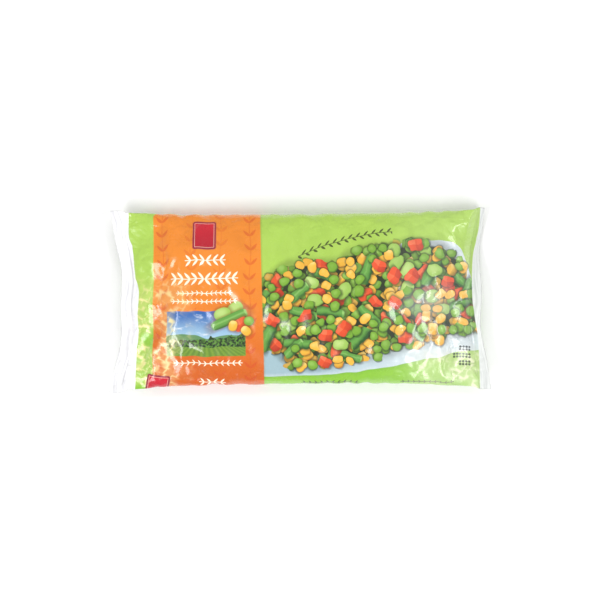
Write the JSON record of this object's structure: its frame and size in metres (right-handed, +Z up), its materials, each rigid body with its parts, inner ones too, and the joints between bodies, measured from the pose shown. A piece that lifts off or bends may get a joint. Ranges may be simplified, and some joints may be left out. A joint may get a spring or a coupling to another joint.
{
  "type": "frozen vegetable bag",
  "caption": "Shut pillow bag of printed film filled with frozen mixed vegetables, lying on its back, with a flat clear seal at each end.",
  "frame": {"origin": "middle of the bag's outline, on the surface that it lies on", "axes": "+X along the bag towards its right end as the print is seen, +Y towards the print's upper edge, +Z up out of the printed front"},
  "size_m": [0.37, 0.1806, 0.0484],
  "materials": {
    "printed_film": "satin gloss film with a printed front, milky clear at both ends"
  },
  "bodies": {
    "root": {"bag": "printed_film"}
  },
  "joints": []
}
